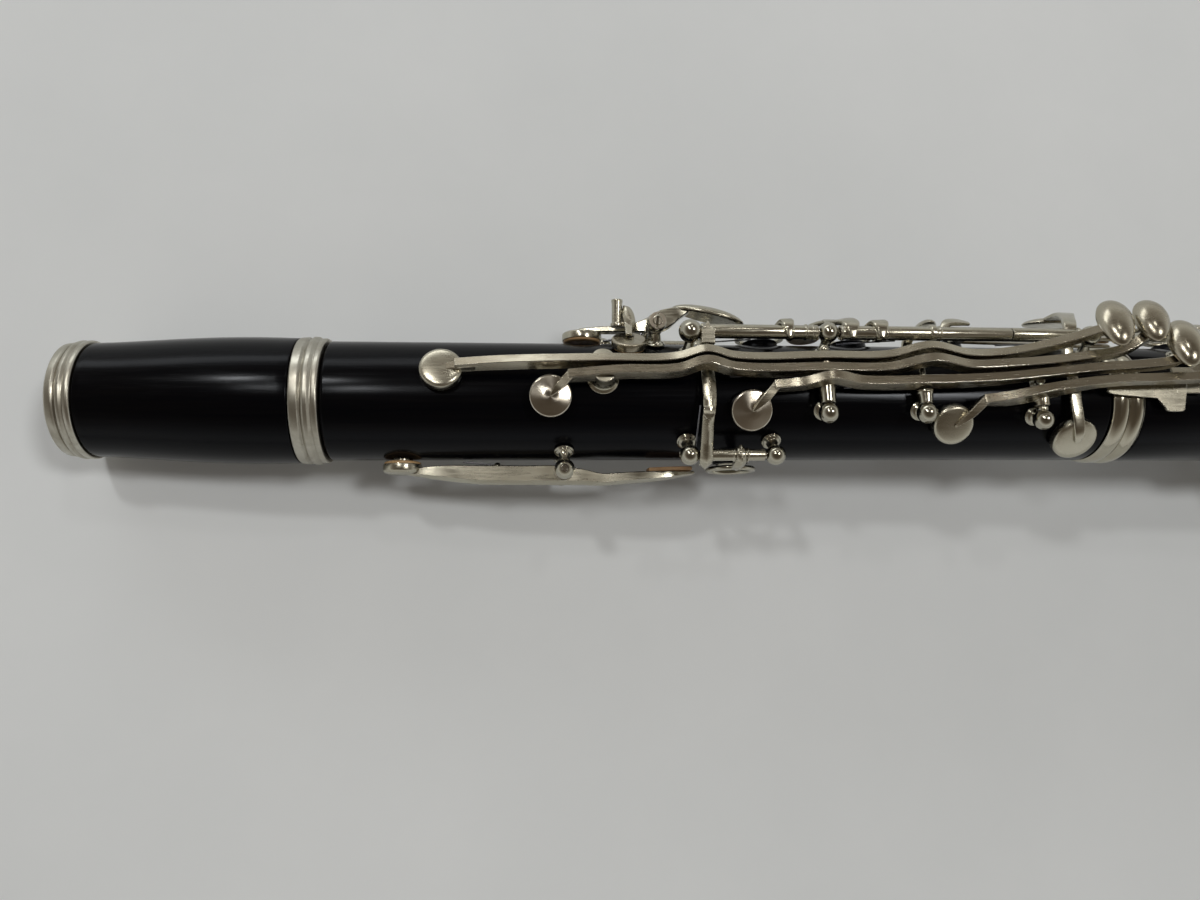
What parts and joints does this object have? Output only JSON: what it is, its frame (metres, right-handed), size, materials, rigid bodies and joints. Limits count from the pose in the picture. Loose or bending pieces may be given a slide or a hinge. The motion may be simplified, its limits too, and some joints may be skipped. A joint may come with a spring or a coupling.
{
  "type": "clarinet",
  "caption": "Boehm-system clarinet in black wood with nickel-silver keys: barrel, two joints and bell, no mouthpiece fitted; every key rocks on its own hinge.",
  "frame": {"origin": "on the bore's axis, half-way between the barrel's top end and the bell's rim", "axes": "+X down the bore towards the bell, +Y towards the front (tone-hole side), +Z towards the player's right-hand side, where the side keys are"},
  "size_m": [0.5976, 0.079, 0.079],
  "materials": {
    "blackwood": "oiled black hardwood, satin, fine grain along the bore",
    "nickel_silver": "polished nickel silver with light brushing and brown tarnish",
    "worn_nickel": "dull, handled nickel plating on the joint rings",
    "pad_skin": "tan bladder-skin pad, matt",
    "cork": "natural sheet cork, waxed"
  },
  "bodies": {
    "upper_joint": {"upper_joint": "blackwood", "upper_tenon_cork": "cork", "middle_tenon_cork": "cork", "trill_key_guide": "nickel_silver", "register_key_posts": "nickel_silver", "thumb_ring_posts": "nickel_silver", "side_keys_1_2_posts": "nickel_silver", "side_key_3_posts": "nickel_silver", "side_key_4_posts": "nickel_silver", "throat_a_posts": "nickel_silver", "throat_g_sharp_posts": "nickel_silver", "left_hand_rod_and_posts": "nickel_silver", "left_sliver_posts": "nickel_silver"},
    "barrel": {"barrel": "blackwood", "barrel_top_ring": "worn_nickel", "barrel_bottom_ring": "worn_nickel"},
    "register_key": {"register_key": "nickel_silver", "register_key_pad": "pad_skin"},
    "thumb_ring_key": {"thumb_ring_key": "nickel_silver"},
    "throat_a_key": {"throat_a_key": "nickel_silver", "throat_a_pad": "pad_skin"},
    "throat_g_sharp_key": {"throat_g_sharp_key": "nickel_silver"},
    "side_key_1": {"side_key_1": "nickel_silver", "side_key_1_pad": "pad_skin"},
    "side_key_2": {"side_key_2": "nickel_silver", "side_key_2_pad": "pad_skin"},
    "side_key_3": {"side_key_3": "nickel_silver", "side_key_3_pad": "pad_skin"},
    "side_key_4": {"side_key_4": "nickel_silver", "side_key_4_pad": "pad_skin"},
    "left_first_ring_key": {"left_first_ring_key": "nickel_silver"},
    "left_second_ring_key": {"left_second_ring_key": "nickel_silver"},
    "c_sharp_key": {"c_sharp_key": "nickel_silver", "c_sharp_pad": "pad_skin"},
    "left_sliver_key": {"left_sliver_key": "nickel_silver"},
    "lower_joint": {"lower_joint": "blackwood", "lower_joint_socket_ring": "worn_nickel", "bell_tenon_cork": "cork", "right_hand_rod_and_posts": "nickel_silver", "right_sliver_posts": "nickel_silver", "f_c_rod_and_posts": "nickel_silver", "e_b_rod_and_posts": "nickel_silver", "f_sharp_rod_and_posts": "nickel_silver", "a_flat_posts": "nickel_silver", "left_f_c_posts": "nickel_silver", "left_e_b_posts": "nickel_silver", "left_f_sharp_posts": "nickel_silver", "thumb_rest": "nickel_silver"},
    "right_ring_key": {"right_ring_key": "nickel_silver"},
    "right_sliver_key": {"right_sliver_key": "nickel_silver"},
    "f_c_key": {"f_c_key": "nickel_silver"},
    "e_b_key": {"e_b_key": "nickel_silver"},
    "f_sharp_key": {"f_sharp_key": "nickel_silver"},
    "a_flat_key": {"a_flat_key": "nickel_silver"},
    "left_f_c_lever": {"left_f_c_lever": "nickel_silver"},
    "left_e_b_lever": {"left_e_b_lever": "nickel_silver"},
    "left_f_sharp_lever": {"left_f_sharp_lever": "nickel_silver"},
    "bell": {"bell": "blackwood", "bell_top_ring": "worn_nickel", "bell_rim_ring": "worn_nickel"}
  },
  "joints": [
    {"name": "barrel_slide", "type": "slide", "parent": "upper_joint", "child": "barrel", "axis": [-1, 0, 0], "range_m": [0, 0.018]},
    {"name": "lower_joint_slide", "type": "slide", "parent": "upper_joint", "child": "lower_joint", "axis": [1, 0, 0], "range_m": [0, 0.019]},
    {"name": "bell_slide", "type": "slide", "parent": "lower_joint", "child": "bell", "axis": [1, 0, 0], "range_m": [0, 0.022]},
    {"name": "side_key_1_hinge", "type": "hinge", "parent": "upper_joint", "child": "side_key_1", "pos_m": [-0.11538, 0.00231, 0.01765], "axis": [0, 0.9924, -0.1232], "range_deg": [0, 1.1]},
    {"name": "side_key_2_hinge", "type": "hinge", "parent": "upper_joint", "child": "side_key_2", "pos_m": [-0.11538, 0.00231, 0.01765], "axis": [0, 0.9924, -0.1232], "range_deg": [0, 1.6]},
    {"name": "side_key_3_hinge", "type": "hinge", "parent": "upper_joint", "child": "side_key_3", "pos_m": [-0.09077, 0.00256, 0.0175], "axis": [0, 0.9904, -0.1381], "range_deg": [0, 1.9]},
    {"name": "side_key_4_hinge", "type": "hinge", "parent": "upper_joint", "child": "side_key_4", "pos_m": [-0.06078, -0.00216, 0.01801], "axis": [0, 0.9996, -0.0266], "range_deg": [0, 4]},
    {"name": "register_key_hinge", "type": "hinge", "parent": "upper_joint", "child": "register_key", "pos_m": [-0.17888, -0.0182, 0], "axis": [0, 0, 1], "range_deg": [0, 3]},
    {"name": "thumb_ring_key_hinge", "type": "hinge", "parent": "upper_joint", "child": "thumb_ring_key", "pos_m": [-0.13812, -0.01536, 0.01373], "axis": [1, 0, 0], "range_deg": [0, 3]},
    {"name": "throat_a_key_hinge", "type": "hinge", "parent": "upper_joint", "child": "throat_a_key", "pos_m": [-0.15557, 0.0186, 0.0026], "axis": [0, 0, -1], "range_deg": [0, 3.5]},
    {"name": "throat_g_sharp_key_hinge", "type": "hinge", "parent": "upper_joint", "child": "throat_g_sharp_key", "pos_m": [-0.15407, 0.01722, -0.01076], "axis": [-1, 0, 0], "range_deg": [0, 4]},
    {"name": "left_first_ring_key_hinge", "type": "hinge", "parent": "upper_joint", "child": "left_first_ring_key", "pos_m": [-0.13098, 0.0148, 0.01615], "axis": [-1, 0, 0], "range_deg": [0, 4]},
    {"name": "left_second_ring_key_hinge", "type": "hinge", "parent": "upper_joint", "child": "left_second_ring_key", "pos_m": [-0.09027, 0.0148, 0.01615], "axis": [-1, 0, 0], "range_deg": [0, 4]},
    {"name": "c_sharp_key_hinge", "type": "hinge", "parent": "upper_joint", "child": "c_sharp_key", "pos_m": [-0.05602, 0.0148, 0.01615], "axis": [-1, 0, 0], "range_deg": [0, 4]},
    {"name": "left_sliver_key_hinge", "type": "hinge", "parent": "upper_joint", "child": "left_sliver_key", "pos_m": [-0.08478, 0.01602, -0.01164], "axis": [1, 0, 0], "range_deg": [0, 4]},
    {"name": "right_ring_key_hinge", "type": "hinge", "parent": "lower_joint", "child": "right_ring_key", "pos_m": [0.01422, 0.01466, 0.01572], "axis": [-1, 0, 0], "range_deg": [0, 3.5]},
    {"name": "right_sliver_key_hinge", "type": "hinge", "parent": "lower_joint", "child": "right_sliver_key", "pos_m": [0.03022, 0.00138, 0.01975], "axis": [-1, 0, 0], "range_deg": [0, 2.5]},
    {"name": "f_c_key_hinge", "type": "hinge", "parent": "lower_joint", "child": "f_c_key", "pos_m": [0.09723, 0.01324, 0.01578], "axis": [-1, 0, 0], "range_deg": [0, 5]},
    {"name": "e_b_key_hinge", "type": "hinge", "parent": "lower_joint", "child": "e_b_key", "pos_m": [0.11323, 0.00498, 0.01999], "axis": [-1, 0, 0], "range_deg": [0, 4]},
    {"name": "f_sharp_key_hinge", "type": "hinge", "parent": "lower_joint", "child": "f_sharp_key", "pos_m": [0.08422, 0.01324, -0.01578], "axis": [1, 0, 0], "range_deg": [0, 5]},
    {"name": "a_flat_key_hinge", "type": "hinge", "parent": "lower_joint", "child": "a_flat_key", "pos_m": [0.08522, -0.00787, 0.01768], "axis": [0, -0.9135, -0.4067], "range_deg": [0, 5]},
    {"name": "left_f_c_lever_hinge", "type": "hinge", "parent": "lower_joint", "child": "left_f_c_lever", "pos_m": [0.02722, 0.01607, -0.01256], "axis": [1, 0, 0], "range_deg": [0, 5.5]},
    {"name": "left_e_b_lever_hinge", "type": "hinge", "parent": "lower_joint", "child": "left_e_b_lever", "pos_m": [0.03222, 0.0083, -0.01864], "axis": [1, 0, 0], "range_deg": [0, 5.5]},
    {"name": "left_f_sharp_lever_hinge", "type": "hinge", "parent": "lower_joint", "child": "left_f_sharp_lever", "pos_m": [0.02722, -0.00142, -0.02035], "axis": [1, 0, 0], "range_deg": [0, 5.5]}
  ],
  "couplings": [
    {"joint": "left_f_c_lever_hinge", "follows": "f_c_key_hinge", "ratio": 1},
    {"joint": "left_e_b_lever_hinge", "follows": "e_b_key_hinge", "ratio": 1},
    {"joint": "left_f_sharp_lever_hinge", "follows": "f_sharp_key_hinge", "ratio": 1}
  ]
}
